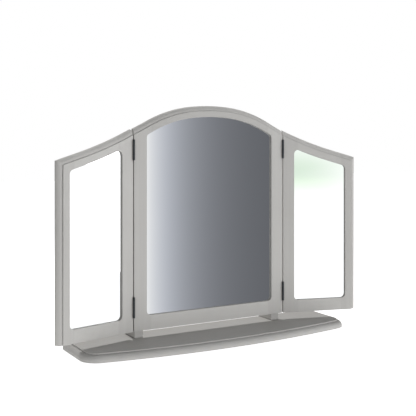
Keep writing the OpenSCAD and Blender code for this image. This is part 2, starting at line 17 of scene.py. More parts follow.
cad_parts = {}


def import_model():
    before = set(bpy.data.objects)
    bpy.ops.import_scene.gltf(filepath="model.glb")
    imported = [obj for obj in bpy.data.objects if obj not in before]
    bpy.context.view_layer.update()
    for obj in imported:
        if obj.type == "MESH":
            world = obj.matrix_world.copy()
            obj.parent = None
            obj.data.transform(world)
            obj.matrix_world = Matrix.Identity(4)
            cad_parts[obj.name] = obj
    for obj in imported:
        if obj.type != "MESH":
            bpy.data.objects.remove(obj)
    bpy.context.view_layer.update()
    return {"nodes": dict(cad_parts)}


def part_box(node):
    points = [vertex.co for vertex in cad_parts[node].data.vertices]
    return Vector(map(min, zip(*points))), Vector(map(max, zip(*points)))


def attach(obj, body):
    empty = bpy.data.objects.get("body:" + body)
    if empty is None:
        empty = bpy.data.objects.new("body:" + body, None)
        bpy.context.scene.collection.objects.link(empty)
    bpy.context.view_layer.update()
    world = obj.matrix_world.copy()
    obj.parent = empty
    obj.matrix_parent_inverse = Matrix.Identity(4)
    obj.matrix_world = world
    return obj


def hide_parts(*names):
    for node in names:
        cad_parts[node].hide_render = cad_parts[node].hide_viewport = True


LOG = logging.getLogger("mirror")

Colour = tuple[float, float, float]
Tones = tuple[Colour, Colour]
Numbers = Sequence[float]

# Degrees to a radian.
DEGREES = math.degrees(1.0)
# The value that noise lies around.
MIDDLE = 0.5
# Vertices that lie closer than this, in metres, are one.
WELD = 1e-6
BLACK = (0.0, 0.0, 0.0)
WHITE = (1.0, 1.0, 1.0)


class Wire:
    """A number that flows through a node tree. Arithmetic on it adds Math nodes."""

    def __init__(self, tree: "Tree", socket: bpy.types.NodeSocket) -> None:
        """Wraps a socket.

        Args:
            tree: The tree that the socket belongs to.
            socket: The output socket that gives the number.
        """
        self.tree = tree
        self.socket = socket

    def __add__(self, other: "Term") -> "Wire":
        """Returns self + other."""
        return self.tree.math("ADD", self, other)

    def __radd__(self, other: "Term") -> "Wire":
        """Returns other + self."""
        return self.tree.math("ADD", other, self)

    def __sub__(self, other: "Term") -> "Wire":
        """Returns self - other."""
        return self.tree.math("SUBTRACT", self, other)

    def __rsub__(self, other: "Term") -> "Wire":
        """Returns other - self."""
        return self.tree.math("SUBTRACT", other, self)

    def __mul__(self, other: "Term") -> "Wire":
        """Returns self * other."""
        return self.tree.math("MULTIPLY", self, other)

    def __rmul__(self, other: "Term") -> "Wire":
        """Returns other * self."""
        return self.tree.math("MULTIPLY", other, self)

    def __truediv__(self, other: "Term") -> "Wire":
        """Returns self / other."""
        return self.tree.math("DIVIDE", self, other)

    def __rtruediv__(self, other: "Term") -> "Wire":
        """Returns other / self."""
        return self.tree.math("DIVIDE", other, self)


Term = Union[Wire, float]


class Tree:
    """A node tree that is written as Python expressions."""

    MIX_FACTOR = 0
    MIX_A = 6
    MIX_B = 7
    MIX_RESULT = 2

    def __init__(self, nodes: bpy.types.NodeTree) -> None:
        """Starts from an empty tree.

        Args:
            nodes: The tree to fill, whose default nodes are removed.
        """
        self.nodes = nodes
        self.nodes.nodes.clear()

    def node(
        self, kind: str, settings: Mapping[str, Any], inputs: Mapping[Union[str, int], Any]
    ) -> bpy.types.Node:
        """Makes a node.

        Args:
            kind: The node's type.
            settings: Its properties, set first.
            inputs: Values or links of its sockets, by name or by place.

        Returns:
            The new node.
        """
        made = self.nodes.nodes.new(kind)
        for name, value in settings.items():
            setattr(made, name, value)
        for key, value in inputs.items():
            if isinstance(value, Wire):
                self.nodes.links.new(value.socket, made.inputs[key])
            else:
                made.inputs[key].default_value = value
        return made

    def out(self, made: bpy.types.Node, name: Union[str, int] = 0) -> Wire:
        """Returns one of a node's outputs, by name or by place."""
        return Wire(self, made.outputs[name])

    def math(self, operation: str, a: Term, b: Term = 0.0) -> Wire:
        """Returns the result of a Math node on one or two terms."""
        return self.out(self.node("ShaderNodeMath", {"operation": operation}, {0: a, 1: b}))

    def dot(self, a: Wire, b: Union[Wire, Numbers]) -> Wire:
        """Returns the dot product of two vectors."""
        made = self.node("ShaderNodeVectorMath", {"operation": "DOT_PRODUCT"}, {0: a, 1: b})
        return self.out(made, "Value")

    def limit(self, value: Term, low: float, high: float) -> Wire:
        """Returns a value held between two limits."""
        return self.math("MINIMUM", self.math("MAXIMUM", value, low), high)

    def share(self, value: Term) -> Wire:
        """Returns a value held between 0 and 1."""
        return self.limit(value, 0.0, 1.0)

    def step(self, value: Term, start: float, end: float) -> Wire:
        """Returns a smooth step.

        Args:
            value: The number to look at.
            start: Where the step is still 0.
            end: Where it reaches 1.

        Returns:
            A number from 0 to 1.
        """
        settings = {"interpolation_type": "SMOOTHSTEP"}
        places = {"Value": value, "From Min": start, "From Max": end}
        return self.out(self.node("ShaderNodeMapRange", settings, places), "Result")

    def mix(self, factor: Term, a: Union[Wire, Colour], b: Union[Wire, Colour]) -> Wire:
        """Blends two colours.

        Args:
            factor: 0 for the first colour, 1 for the second.
            a: The first colour.
            b: The second colour.

        Returns:
            The blended colour.
        """
        inputs = {self.MIX_FACTOR: factor}
        for place, colour in ((self.MIX_A, a), (self.MIX_B, b)):
            inputs[place] = colour if isinstance(colour, Wire) else (*colour, 1.0)
        return self.out(self.node("ShaderNodeMix", {"data_type": "RGBA"}, inputs), self.MIX_RESULT)

    def place(
        self, turn: float = 0.0, scale: Numbers = (1.0, 1.0, 1.0), shift: Numbers = (0.0, 0.0, 0.0)
    ) -> Wire:
        """Gives a surface's own place, for a pattern.

        Args:
            turn: Turn of the pattern about the upright axis, in radians.
            scale: Repeats per metre along each axis, once turned.
            shift: Shift of the pattern.

        Returns:
            The place as a vector.
        """
        own = self.out(self.node("ShaderNodeTexCoord", {}, {}), "Object")
        turned = self.node("ShaderNodeMapping", {}, {"Vector": own, "Rotation": (0.0, 0.0, turn)})
        sized = {"Vector": self.out(turned), "Scale": scale, "Location": shift}
        return self.out(self.node("ShaderNodeMapping", {}, sized))

    def noise(self, where: Wire, detail: float = 2.0, rough: float = 0.5) -> Wire:
        """Returns soft noise around MIDDLE.

        Args:
            where: The place as a vector, with about one lump to the unit.
            detail: Octaves of finer noise.
            rough: Strength of the finer octaves.

        Returns:
            A number from 0 to 1.
        """
        inputs = {"Vector": where, "Scale": 1.0, "Detail": detail, "Roughness": rough}
        return self.out(self.node("ShaderNodeTexNoise", {}, inputs), "Fac")

    def spots(self, size: float, detail: float = 2.0, rough: float = 0.5) -> Wire:
        """Returns noise over a surface that is as coarse in all directions.

        Args:
            size: Lumps per metre.
            detail: Octaves of finer noise.
            rough: Strength of the finer octaves.

        Returns:
            A number from 0 to 1.
        """
        return self.noise(self.place(scale=(size, size, size)), detail, rough)

    def around(self, base: float, *noises: tuple[Wire, float]) -> Wire:
        """Moves a value up and down with noises.

        Args:
            base: The value in the middle.
            noises: Each noise with its strength.

        Returns:
            The moved value.
        """
        for wire, strength in noises:
            base = base + (wire - MIDDLE) * strength
        return base


class Axis(Enum):
    """The way the wood of a member runs."""

    X = "x"
    Y = "y"
    Z = "z"

    def stretch(self, along: float, across: float) -> tuple[float, float, float]:
        """Returns a scale that stretches a pattern along this axis.

        Args:
            along: Repeats per metre along the wood.
            across: Repeats per metre across it.

        Returns:
            The scale along X, Y and Z.
        """
        return tuple(along if axis is self else across for axis in Axis)


@dataclass(frozen=True)
class Finish:
    """A surface finish. Each kind of finish builds its own nodes.

    Attributes:
        name: The name of its material.
    """

    # Rays behind the mask of edges and behind the mask of painted corner shade.
    EDGE_RAYS = 4
    CREVICE_RAYS = 6
    # How steeply the mask of edges rises.
    EDGE_GAIN = 6.0
    # The openness below which the painted corner shade begins, and the one where it is full.
    CREVICE_OPENNESS = (0.88, 0.28)

    name: str

    def material(self) -> bpy.types.Material:
        """Makes the finish.

        Returns:
            A new material.
        """
        made = bpy.data.materials.new(self.name)
        made.use_nodes = True
        tree = Tree(made.node_tree)
        shader = self.shader(tree)
        tree.node("ShaderNodeOutputMaterial", {}, {"Surface": tree.out(shader)})
        return made

    def shader(self, tree: Tree) -> bpy.types.Node:
        """Returns the shader node of the finish.

        Args:
            tree: The material's tree.

        Returns:
            A Principled shader.
        """
        raise NotImplementedError

    def rounded(self, tree: Tree, radius: float) -> Wire:
        """Returns the normal of a surface whose edges are rounded by a radius."""
        bevel = tree.node("ShaderNodeBevel", {"samples": self.EDGE_RAYS}, {"Radius": radius})
        return tree.out(bevel)

    def edge_mask(self, tree: Tree, radius: float) -> Wire:
        """Finds outer and inner edges.

        Args:
            tree: The material's tree.
            radius: How far from an edge the mask reaches.

        Returns:
            A number that is 0 on flats and rises towards the edges.
        """
        sharp = tree.out(tree.node("ShaderNodeNewGeometry", {}, {}), "Normal")
        bend = 1.0 - tree.dot(self.rounded(tree, radius), sharp)
        return tree.share(bend * self.EDGE_GAIN)

    def crevices(self, tree: Tree, reach: float) -> Wire:
        """Finds inner corners, for the shade that is painted into them.

        Args:
            tree: The material's tree.
            reach: How far from a neighbouring surface the mask reaches.

        Returns:
            A number that is 0 in the open and rises towards inner corners.
        """
        settings = {"samples": self.CREVICE_RAYS}
        openness = tree.node("ShaderNodeAmbientOcclusion", settings, {"Distance": reach})
        return tree.step(tree.out(openness, "AO"), *self.CREVICE_OPENNESS)

    def relief(self, tree: Tree, height: Wire, depth: float, radius: float) -> Wire:
        """Turns a height into a normal, over edges that are eased.

        Args:
            tree: The material's tree.
            height: The height, from 0 to 1.
            depth: The real depth of the relief.
            radius: Radius of the eased edges.

        Returns:
            The normal.
        """
        eased = self.rounded(tree, radius)
        inputs = {"Height": height, "Distance": depth, "Strength": 1.0, "Normal": eased}
        return tree.out(tree.node("ShaderNodeBump", {}, inputs))


@dataclass(frozen=True)
class Paint(Finish):
    """Satin paint, brushed along the wood, rubbed a little at its edges, with shade painted into
    its inner corners.

    Attributes:
        grain: The way the wood runs.
        turn: Turn of the piece about the upright axis, in radians.
        tone: The paint's own colour.
        dark: Its colour where it is darkest.
        rubbed: Its colour on a rubbed edge.
        corner_shade: Its colour deep in an inner corner: painted shade.
        crevice: How far the painted shade reaches out of a corner.
        eased: Radius of the edges.
        depth: Height of the marks in the surface.
        stroke_size: Brush marks per metre, along and across the wood.
        grain_size: Grain lines per metre, along and across the wood.
        grain_shift: Keeps the grain lines apart from the brush marks.
        cloud_size: Darker clouds per metre.
        patch_size: Patches per metre, of wear and of stronger painted shade in corners.
        peel_size: Dimples per metre.
        patch_range: The noise between which a patch comes in.
        shade: Darkness where nothing adds to it.
        wear: Strength of the rubbed edges.
        wear_reach: Reach of a rubbed edge, against the radius of the edges.
        least_worn: Wear of an edge outside the patches, as a share.
        least_corner_shade: Painted shade of a corner outside the patches, as a share.
        shine: Strength of the highlights.
    """

    grain: Axis = Axis.Z
    turn: float = 0.0
    tone: Colour = (0.625, 0.613, 0.585)
    dark: Colour = (0.570, 0.558, 0.530)
    rubbed: Colour = (0.710, 0.698, 0.665)
    # Painted shade: the dark colour that inner corners go to.
    corner_shade: Colour = (0.160, 0.154, 0.145)
    crevice: float = 0.0065
    eased: float = 0.0006
    depth: float = 0.00006
    stroke_size: Numbers = (5.0, 420.0)
    grain_size: Numbers = (2.5, 95.0)
    grain_shift: Numbers = (0.3, 0.7, 0.1)
    cloud_size: float = 7.0
    patch_size: float = 60.0
    peel_size: float = 520.0
    patch_range: Numbers = (0.42, 0.62)
    shade: float = 0.35
    stroke_shade: float = 0.55
    grain_shade: float = 0.90
    cloud_shade: float = 0.80
    stroke_height: float = 0.55
    grain_height: float = 0.25
    peel_height: float = 0.35
    wear: float = 0.55
    wear_reach: float = 1.6
    least_worn: float = 0.35
    least_corner_shade: float = 0.75
    roughness: float = 0.44
    peel_roughness: float = 0.12
    cloud_roughness: float = 0.10
    shine: float = 0.42

    def shader(self, tree: Tree) -> bpy.types.Node:
        """Returns the shader node of the paint.

        Args:
            tree: The material's tree.

        Returns:
            A Principled shader with brush marks, grain and rubbed edges.
        """
        along = self.grain.stretch
        strokes = tree.noise(tree.place(self.turn, along(*self.stroke_size)), detail=3.0, rough=0.6)
        grain = tree.noise(tree.place(self.turn, along(*self.grain_size), self.grain_shift))
        clouds = tree.spots(self.cloud_size, detail=3.0)
        peel = tree.spots(self.peel_size, detail=1.0)
        shade = tree.around(
            self.shade,
            (strokes, self.stroke_shade),
            (grain, self.grain_shade),
            (clouds, self.cloud_shade),
        )
        body = tree.mix(tree.share(shade), self.tone, self.dark)
        patch = tree.step(tree.spots(self.patch_size, detail=3.0, rough=0.6), *self.patch_range)
        edges = self.edge_mask(tree, self.eased * self.wear_reach)
        worn = edges * self.patchy(patch, self.least_worn)
        clean = tree.mix(worn * self.wear, body, self.rubbed)
        # Painted shade in inner corners, stronger in patches.
        corner_shade_mask = self.crevices(tree, self.crevice) * self.patchy(patch, self.least_corner_shade)
        height = strokes * self.stroke_height + grain * self.grain_height + peel * self.peel_height
        rough = tree.around(
            self.roughness, (peel, self.peel_roughness), (clouds, self.cloud_roughness)
        )
        return tree.node(
            "ShaderNodeBsdfPrincipled",
            {},
            {
                "Base Color": tree.mix(corner_shade_mask, clean, self.corner_shade),
                "Roughness": rough,
                "Normal": self.relief(tree, height, self.depth, self.eased),
                "Specular IOR Level": self.shine,
            },
        )

    @staticmethod
    def patchy(patch: Wire, least: float) -> Wire:
        """Returns a share that is 1 in a patch and at its least outside."""
        return least + patch * (1.0 - least)


@dataclass(frozen=True)
class Silvering(Finish):
    """Clean silvered glass.

    Attributes:
        tone: What the clear glass gives back.
        haze: What it gives back where it is a little hazy.
        haze_size: Hazy places per metre.
        wipe_size: Wiping marks per metre along each axis.
        wiped: How much rougher a wiping mark is.
    """

    tone: Colour = (0.955, 0.965, 0.965)
    haze: Colour = (0.930, 0.945, 0.945)
    haze_size: float = 9.0
    wipe_size: Numbers = (14.0, 14.0, 60.0)
    roughness: float = 0.008
    wiped: float = 0.014

    def shader(self, tree: Tree) -> bpy.types.Node:
        """Returns the shader node of the mirror.

        Args:
            tree: The material's tree.

        Returns:
            A Principled shader with the faintest haze.
        """
        haze = tree.share(tree.spots(self.haze_size, detail=3.0))
        wipes = tree.noise(tree.place(scale=self.wipe_size))
        return tree.node(
            "ShaderNodeBsdfPrincipled",
            {},
            {
                "Base Color": tree.mix(haze, self.tone, self.haze),
                "Roughness": self.roughness + wipes * self.wiped,
                "Metallic": 1.0,
            },
        )


@dataclass(frozen=True)
class Hardboard(Finish):
    """Pressed wood fibre, with flecks and a leathery skin.

    Attributes:
        fibres: Turn and lumps per metre of the fibres that run up and of those that cross them.
        skin_range: The noise between which the skin goes from dark to its tone.
        fleck_range: The noise between which a fleck comes in.
        flecked: Strength of the flecks.
    """

    tone: Colour = (0.235, 0.135, 0.070)
    dark: Colour = (0.130, 0.068, 0.034)
    fleck: Colour = (0.400, 0.270, 0.160)
    cloud_size: float = 11.0
    cloud_shade: float = 0.5
    fibres: tuple[tuple[float, Numbers], ...] = (
        (0.6, (260.0, 260.0, 900.0)),
        (-0.5, (900.0, 900.0, 240.0)),
    )
    skin_range: Numbers = (0.30, 0.72)
    fleck_range: Numbers = (0.34, 0.44)
    flecked: float = 0.7
    roughness: float = 0.62
    skin_roughness: float = 0.3
    depth: float = 0.00012
    eased: float = 0.0003

    def shader(self, tree: Tree) -> bpy.types.Node:
        """Returns the shader node of the board.

        Args:
            tree: The material's tree.

        Returns:
            A Principled shader with fibres and flecks.
        """
        clouds = tree.spots(self.cloud_size, detail=4.0, rough=0.6)
        up, crossed = (tree.noise(tree.place(*each), detail=4.0, rough=0.7) for each in self.fibres)
        skin = tree.share((up + crossed) / 2.0 + (clouds - MIDDLE) * self.cloud_shade)
        flecks = tree.step(up * crossed, *self.fleck_range)
        body = tree.mix(tree.step(skin, *self.skin_range), self.dark, self.tone)
        return tree.node(
            "ShaderNodeBsdfPrincipled",
            {},
            {
                "Base Color": tree.mix(flecks * self.flecked, body, self.fleck),
                "Roughness": tree.around(self.roughness, (skin, self.skin_roughness)),
                "Normal": self.relief(tree, skin, self.depth, self.eased),
            },
        )


@dataclass(frozen=True)
class BareWood(Finish):
    """Unfinished beech with short dark rays.

    Attributes:
        ring_size: Growth rings per metre, along and across the wood.
        ring_range: The noise between which a ring darkens.
        ray_size: Rays per metre, along and across the wood.
        ray_range: The noise between which a ray comes in.
        ray_shade: How much a ray darkens the wood.
        ray_height: How far a ray stands up, against a ring.
    """

    grain: Axis = Axis.X
    turn: float = 0.0
    tone: Colour = (0.520, 0.350, 0.190)
    dark: Colour = (0.360, 0.215, 0.105)
    ring_size: Numbers = (14.0, 520.0)
    ring_range: Numbers = (0.30, 0.70)
    ray_size: Numbers = (260.0, 2600.0)
    ray_range: Numbers = (0.60, 0.74)
    ray_shade: float = 0.6
    ray_height: float = 0.4
    roughness: float = 0.58
    ring_roughness: float = 0.2
    depth: float = 0.00008
    eased: float = 0.0003

    def shader(self, tree: Tree) -> bpy.types.Node:
        """Returns the shader node of the wood.

        Args:
            tree: The material's tree.

        Returns:
            A Principled shader with grain and rays.
        """
        along = self.grain.stretch
        rings = tree.noise(tree.place(self.turn, along(*self.ring_size)), detail=3.0, rough=0.6)
        rays = tree.step(tree.noise(tree.place(self.turn, along(*self.ray_size))), *self.ray_range)
        body = tree.mix(tree.step(rings, *self.ring_range), self.tone, self.dark)
        height = rings + rays * self.ray_height
        return tree.node(
            "ShaderNodeBsdfPrincipled",
            {},
            {
                "Base Color": tree.mix(rays * self.ray_shade, body, self.dark),
                "Roughness": tree.around(self.roughness, (rings, self.ring_roughness)),
                "Normal": self.relief(tree, height, self.depth, self.eased),
            },
        )


@dataclass(frozen=True)
class Metal(Finish):
    """Rolled or turned metal, with handling marks and bright edges.

    Attributes:
        dull: Its colour in a stain.
        bright: Its colour on an edge.
        brightened: How far an edge goes to that colour.
        edge_reach: Reach of a bright edge, against the radius of the edges.
        stain_size: Stains per metre along each axis.
        stain_range: The noise between which a stain comes in.
        scratches: Turn and lumps per metre of the fine scratches.
        scratch_height: How far a scratch stands up, and a stain too.
    """

    tone: Colour = (0.62, 0.61, 0.58)
    dull: Colour = (0.42, 0.41, 0.39)
    bright: Colour = (0.80, 0.79, 0.76)
    metallic: float = 1.0
    roughness: float = 0.34
    scratch_roughness: float = 0.16
    stain_roughness: float = 0.14
    brightened: float = 0.6
    edge_reach: float = 2.0
    stain_size: Numbers = (130.0, 130.0, 90.0)
    stain_range: Numbers = (0.35, 0.70)
    scratches: tuple[float, Numbers] = (0.4, (3200.0, 3200.0, 260.0))
    scratch_height: float = 0.6
    depth: float = 0.00002
    eased: float = 0.0002

    def shader(self, tree: Tree) -> bpy.types.Node:
        """Returns the shader node of the metal.

        Args:
            tree: The material's tree.

        Returns:
            A Principled shader with stains, fine scratches and bright edges.
        """
        stains = tree.noise(tree.place(scale=self.stain_size), detail=4.0, rough=0.6)
        scratches = tree.noise(tree.place(*self.scratches), rough=0.6)
        body = tree.mix(tree.step(stains, *self.stain_range), self.tone, self.dull)
        edges = self.edge_mask(tree, self.eased * self.edge_reach)
        height = (scratches + stains) * self.scratch_height
        rough = tree.around(
            self.roughness, (scratches, self.scratch_roughness), (stains, self.stain_roughness)
        )
        return tree.node(
            "ShaderNodeBsdfPrincipled",
            {},
            {
                "Base Color": tree.mix(edges * self.brightened, body, self.bright),
                "Roughness": rough,
                "Metallic": self.metallic,
                "Normal": self.relief(tree, height, self.depth, self.eased),
            },
        )


@dataclass(frozen=True)
class Felt(Finish):
    """Pressed felt with loose fibres.

    Attributes:
        fibre_size: Fibres per metre along each axis.
        fibre_turns: Turns of the two layers of fibres, in radians.
        pale_range: The noise between which a fibre goes pale.
    """

    tone: Colour = (0.052, 0.064, 0.052)
    pale: Colour = (0.150, 0.170, 0.145)
    fibre_size: Numbers = (2600.0, 500.0, 1800.0)
    fibre_turns: Numbers = (0.7, -0.9)
    pale_range: Numbers = (0.42, 0.66)
    roughness: float = 0.92
    fibre_roughness: float = 0.12
    sheen: float = 0.35
    sheen_roughness: float = 0.6
    depth: float = 0.00025
    eased: float = 0.0003

    def shader(self, tree: Tree) -> bpy.types.Node:
        """Returns the shader node of the felt.

        Args:
            tree: The material's tree.

        Returns:
            A Principled shader with fibres in two directions.
        """
        first, second = (
            tree.noise(tree.place(turn, self.fibre_size), detail=4.0, rough=0.7)
            for turn in self.fibre_turns
        )
        fibre = tree.share((first + second) / 2.0)
        return tree.node(
            "ShaderNodeBsdfPrincipled",
            {},
            {
                "Base Color": tree.mix(tree.step(fibre, *self.pale_range), self.tone, self.pale),
                "Roughness": tree.around(self.roughness, (fibre, self.fibre_roughness)),
                "Normal": self.relief(tree, fibre, self.depth, self.eased),
                "Sheen Weight": self.sheen,
                "Sheen Roughness": self.sheen_roughness,
            },
        )


class Dresser:
    """Assigns finishes to the CAD nodes, and makes each finish once."""

    def __init__(self, nodes: Mapping[str, bpy.types.Object]) -> None:
        """Starts with no finish made.

        Args:
            nodes: The CAD nodes by name.
        """
        self.nodes = nodes
        self.made: dict[Finish, bpy.types.Material] = {}
        self.dressed: set[str] = set()

    def material(self, finish: Finish) -> bpy.types.Material:
        """Looks up a finish, and makes it on its first use.

        Args:
            finish: The finish.

        Returns:
            Its material.
        """
        if finish not in self.made:
            self.made[finish] = finish.material()
        return self.made[finish]

    def dress(self, finish: Finish, *names: str) -> None:
        """Gives CAD nodes a finish.

        Args:
            finish: The finish.
            names: The nodes' names.
        """
        for name in names:
            mesh = self.nodes[name].data
            if not mesh.materials:
                mesh.materials.append(None)
            for place in range(len(mesh.materials)):
                mesh.materials[place] = self.material(finish)
            self.dressed.add(name)
            LOG.info("%s: %s", name, finish.name)

    def check(self) -> None:
        """Stops the script if a node was left in the CAD's plain colours."""
        left = sorted(set(self.nodes) - self.dressed)
        if left:
            raise RuntimeError(f"no finish for {left}")


ZINC = Metal("zinc_plated_steel")
BRONZED = Metal(
    "bronzed_metal",
    tone=(0.024, 0.029, 0.034),
    dull=(0.034, 0.039, 0.044),
    bright=(0.085, 0.092, 0.100),
    metallic=0.35,
    roughness=0.42,
)

# The paint's own and its darkest colour, in copies that paint light and shade in: lighter, as
# painted light, on the wings' rails and the lower rail of the centre panel; darker, as painted
# shade, on the upper rail of the centre panel and, darker still, on the base board.
LIGHTER_LIT_PAINT = ((0.660, 0.648, 0.618), (0.605, 0.593, 0.563))
SHADED_PAINT = ((0.585, 0.574, 0.548), (0.532, 0.521, 0.495))
SHADED_BOARD_PAINT = ((0.562, 0.552, 0.530), (0.511, 0.501, 0.479))


@dataclass
class Panel:
    """One of the three framed mirrors: the centre panel or a wing.

    Attributes:
        prefix: What the names of its nodes begin with.
        uprights: The nodes of its two stiles, without the prefix.
        swing: Its turn about the upright axis as posed, in degrees.
        top_paint: The paint on its upper rail: the lighter copy, painted light, on the wings; the
            darker copy, painted shade, on the centre panel.
        top_crevice: How far painted shade reaches out of the corners of its upper rail.
    """

    prefix: str
    uprights: tuple[str, ...]
    swing: float = 0.0
    top_paint: Tones = LIGHTER_LIT_PAINT
    top_crevice: float = Paint.crevice

    def dress(self, dresser: Dresser) -> None:
        """Finishes the panel's wood, mirror, back board and small parts.

        Args:
            dresser: Assigns the finishes.
        """
        turn = math.radians(self.swing)
        paint = f"{self.prefix}_paint_on"
        top = Paint(f"{paint}_top_rail", Axis.X, turn, *self.top_paint, crevice=self.top_crevice)
        looks = (
            (Paint(f"{paint}_stiles", Axis.Z, turn), self.uprights),
            (top, ("top_rail",)),
            # The lower rail takes the lighter copy of the paint: painted light.
            (Paint(f"{paint}_bottom_rail", Axis.X, turn, *LIGHTER_LIT_PAINT), ("bottom_rail",)),
            (BareWood(f"{self.prefix}_beech", Axis.X, turn), ("dowels",)),
            (Silvering("silvered_glass"), ("mirror_glass",)),
            (Hardboard("hardboard"), ("back_board",)),
            (ZINC, ("board_pins",)),
            (BRONZED, ("hinge_screws",)),
        )
        for finish, members in looks:
            dresser.dress(finish, *(f"{self.prefix}_{member}" for member in members))


@dataclass
class Stand:
    """The base board and the two foot brackets that carry the centre panel.

    Attributes:
        sides: The sides that have a bracket.
        board_crevice: How far painted shade reaches out of the corners of the base board.
    """

    sides: tuple[str, ...] = ("left", "right")
    board_crevice: float = 0.0035

    def dress(self, dresser: Dresser) -> None:
        """Finishes the base board, the brackets and their screws.

        Args:
            dresser: Assigns the finishes.
        """
        # The base board takes a darker copy of the paint: painted shade.
        board = Paint("paint_on_base_board", Axis.X, 0.0, *SHADED_BOARD_PAINT, crevice=self.board_crevice)
        brackets = (f"{side}_foot_bracket" for side in self.sides)
        dresser.dress(board, "base_board")
        dresser.dress(Paint("paint_on_brackets", Axis.Z), *brackets)
        dresser.dress(ZINC, "base_screws", "bracket_screws")


@dataclass
class Hinges:
    """The four butt hinges."""

    sides: tuple[str, ...] = ("left", "right")
    levels: tuple[str, ...] = ("upper", "lower")
    parts: tuple[str, ...] = ("fixed_leaf", "wing_leaf", "pin")

    def dress(self, dresser: Dresser) -> None:
        """Finishes the leaves and the pins.

        Args:
            dresser: Assigns the finishes.
        """
        for side in self.sides:
            for level in self.levels:
                dresser.dress(BRONZED, *(f"{side}_{level}_hinge_{part}" for part in self.parts))


@dataclass
class FeltPads:
    """The felt discs under the base board, one for each disc of the CAD node.

    Attributes:
        node: The CAD node that they stand for.
        slot: The name of their look; not used.
        clearance: How much smaller a disc is than the one of the CAD node.
        round_edge: Radius of the worn edge.
        drawn_in: How far the middle of that edge lies inside, against its radius.
        fuzz: Height of the lumps.
        lumps: Lumps per metre.
        seed: Start of the random lumps, which makes them the same in each run.
        steps: Points round a disc.
        rings: Rings on its flat sides.
    """

    node: str = "felt_pads"
    slot: str = "felt"
    clearance: float = 0.00003
    round_edge: float = 0.0004
    drawn_in: float = 0.3
    fuzz: float = 0.00006
    lumps: float = 900.0
    seed: int = 5
    steps: int = 56
    rings: int = 7

    def build(self, dresser: Dresser) -> bpy.types.Object:
        """Makes the discs as one piece that stands for the CAD node.

        Args:
            dresser: Gives the felt its material.

        Returns:
            The finished piece.
        """
        low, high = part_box(self.node)
        noise.seed_set(self.seed)
        shape = bmesh.new()
        for centre, radius in self.places(dresser.nodes[self.node]):
            disc = self.disc(radius - self.clearance, high.z - low.z - self.clearance)
            disc.transform(Matrix.Translation((centre.x, centre.y, low.z)))
            mesh = bpy.data.meshes.new("disc")
            disc.to_mesh(mesh)
            disc.free()
            shape.from_mesh(mesh)
            bpy.data.meshes.remove(mesh)
        mesh = bpy.data.meshes.new("felt_discs")
        shape.to_mesh(mesh)
        shape.free()
        mesh.materials.append(dresser.material(Felt("pressed_felt")))
        piece = bpy.data.objects.new("felt_discs", mesh)
        bpy.context.scene.collection.objects.link(piece)
        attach(piece, "stand")
        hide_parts(self.node)
        dresser.dressed.add(self.node)
        return piece

    def places(self, cad: bpy.types.Object) -> list[tuple[Vector, float]]:
        """Finds the discs of the CAD node.

        Args:
            cad: The CAD node's object.

        Returns:
            The middle and the radius of each disc.
        """
        copy = bmesh.new()
        copy.from_mesh(cad.data)
        bmesh.ops.remove_doubles(copy, verts=copy.verts, dist=WELD)
        left = set(copy.verts)
        found = []
        while left:
            island = [left.pop()]
            for vert in island:
                for edge in vert.link_edges:
                    other = edge.other_vert(vert)
                    if other in left:
                        left.discard(other)
                        island.append(other)
            xs = [vert.co.x for vert in island]
            ys = [vert.co.y for vert in island]
            centre = Vector(((min(xs) + max(xs)) / 2, (min(ys) + max(ys)) / 2, 0.0))
            found.append((centre, (max(xs) - min(xs)) / 2))
        copy.free()
        return sorted(found, key=lambda place: (round(place[0].x, 4), round(place[0].y, 4)))

    def disc(self, radius: float, height: float) -> bmesh.types.BMesh:
        """Spins one disc and roughens it.

        Args:
            radius: The disc's radius.
            height: Its thickness.

        Returns:
            The disc, standing on the origin.
        """
        made = bmesh.new()
        low, high = self.fuzz, height - self.fuzz
        rim = radius - self.fuzz
        inner = rim - self.round_edge
        cut = self.round_edge * self.drawn_in
        flat = [rim * step / self.rings for step in range(1, self.rings)]
        outline = [(0.0, low), *((x, low) for x in flat)]
        outline += [(inner, low), (rim - cut, low + cut), (rim, low + self.round_edge)]
        outline += [(rim, high - self.round_edge), (rim - cut, high - cut), (inner, high)]
        outline += [*((x, high) for x in reversed(flat)), (0.0, high)]
        verts = [made.verts.new((x, 0.0, z)) for x, z in outline]
        edges = [made.edges.new(pair) for pair in zip(verts, verts[1:])]
        bmesh.ops.spin(
            made,
            geom=verts + edges,
            cent=(0.0, 0.0, 0.0),
            axis=(0.0, 0.0, 1.0),
            angle=math.tau,
            steps=self.steps,
            use_merge=True,
        )
        bmesh.ops.remove_doubles(made, verts=made.verts, dist=WELD)
        for vert in made.verts:
            vert.co += noise.noise_vector(vert.co * self.lumps) * self.fuzz
        bmesh.ops.recalc_face_normals(made, faces=made.faces)
        return made


@dataclass
class Camera:
    """The camera at the photograph's place: upright, level, with its frame shifted down.

    Attributes:
        place: Where it stands.
        heading: Its turn about the upright axis, in degrees.
        lens: Focal length, in millimetres.
        sensor: Width of the frame, in millimetres.
        shift: Shift of the frame, in widths of it.
        sight: How far it sees.
    """

    place: Numbers = (-1.1618, -1.9937, 0.5729)
    heading: float = -29.62
    lens: float = 69.08
    sensor: float = 36.0
    shift: float = -0.161
    sight: float = 60.0

    def build(self) -> bpy.types.Object:
        """Makes the camera and sets it as the scene's.

        Returns:
            The camera's object.
        """
        data = bpy.data.cameras.new("camera")
        data.lens = self.lens
        data.sensor_width = self.sensor
        data.shift_y = self.shift
        data.clip_end = self.sight
        camera = bpy.data.objects.new("camera", data)
        camera.location = self.place
        camera.rotation_euler = (math.radians(90.0), 0.0, math.radians(self.heading))
        bpy.context.scene.collection.objects.link(camera)
        bpy.context.scene.camera = camera
        return camera


